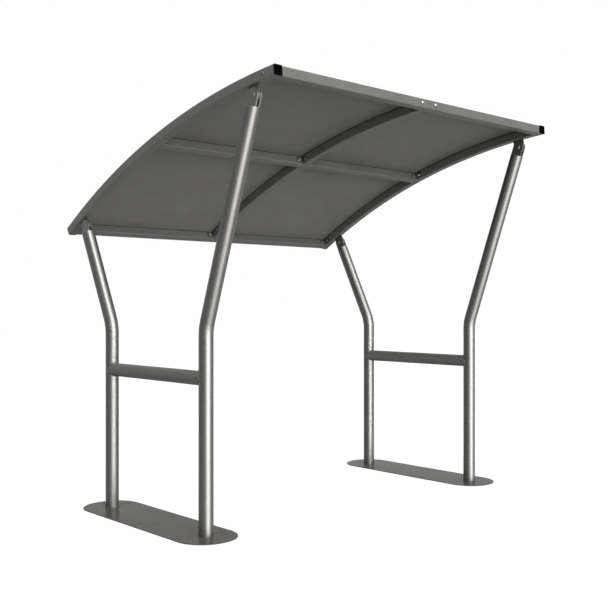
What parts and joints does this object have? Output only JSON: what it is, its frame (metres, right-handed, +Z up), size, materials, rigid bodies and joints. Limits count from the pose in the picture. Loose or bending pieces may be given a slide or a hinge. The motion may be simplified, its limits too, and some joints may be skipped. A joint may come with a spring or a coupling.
{
  "type": "bike shelter",
  "caption": "Open bike shelter: two bolt-down side frames of bent round posts with a locking crossbar carry a curved cantilevered sheet roof on square tubes.",
  "frame": {"origin": "on the ground, under the middle of the shelter's bounding box", "axes": "+Z up, +X to the right along the front beam, +Y to the rear, where the roof is low"},
  "size_m": [2.478, 1.9801, 2.2818],
  "materials": {
    "frame_paint": "semi-matt dark grey powder coat on steel plate and tube",
    "post_paint": "satin dark grey metallic powder coat on round steel tube",
    "roof_paint": "semi-matt dark grey powder coat on square steel tube",
    "cleat_paint": "semi-matt dark grey powder coat on folded steel",
    "roof_sheet": "satin dark grey coated steel sheet",
    "gasket_rubber": "matt black rubber strip",
    "cap_plastic": "matt black moulded plastic",
    "fixings": "bright zinc-plated steel"
  },
  "bodies": {
    "root": {"left_base_plate": "frame_paint", "left_crossbar": "frame_paint", "left_front_post": "post_paint", "left_front_fork": "frame_paint", "left_front_rib_tab": "frame_paint", "left_front_pivot_bolt": "fixings", "left_rear_post": "post_paint", "left_rear_fork": "frame_paint", "left_rear_rib_tab": "frame_paint", "left_rear_pivot_bolt": "fixings", "left_rib": "roof_paint", "left_front_cap": "cap_plastic", "left_rear_cap": "cap_plastic", "right_base_plate": "frame_paint", "right_crossbar": "frame_paint", "right_front_post": "post_paint", "right_front_fork": "frame_paint", "right_front_rib_tab": "frame_paint", "right_front_pivot_bolt": "fixings", "right_rear_post": "post_paint", "right_rear_fork": "frame_paint", "right_rear_rib_tab": "frame_paint", "right_rear_pivot_bolt": "fixings", "right_rib": "roof_paint", "right_front_cap": "cap_plastic", "right_rear_cap": "cap_plastic", "front_beam": "roof_paint", "middle_purlin": "roof_paint", "rear_beam": "roof_paint", "middle_rib_front": "roof_paint", "middle_rib_rear": "roof_paint", "front_cleat_left": "cleat_paint", "front_cleat_middle_left": "cleat_paint", "front_cleat_middle_right": "cleat_paint", "front_cleat_right": "cleat_paint", "purlin_cleat_left": "cleat_paint", "purlin_cleat_middle_left": "cleat_paint", "purlin_cleat_middle_right": "cleat_paint", "purlin_cleat_right": "cleat_paint", "rear_cleat_left": "cleat_paint", "rear_cleat_middle_left": "cleat_paint", "rear_cleat_middle_right": "cleat_paint", "rear_cleat_right": "cleat_paint", "roof_gasket": "gasket_rubber", "roof_sheet": "roof_sheet"}
  },
  "joints": []
}
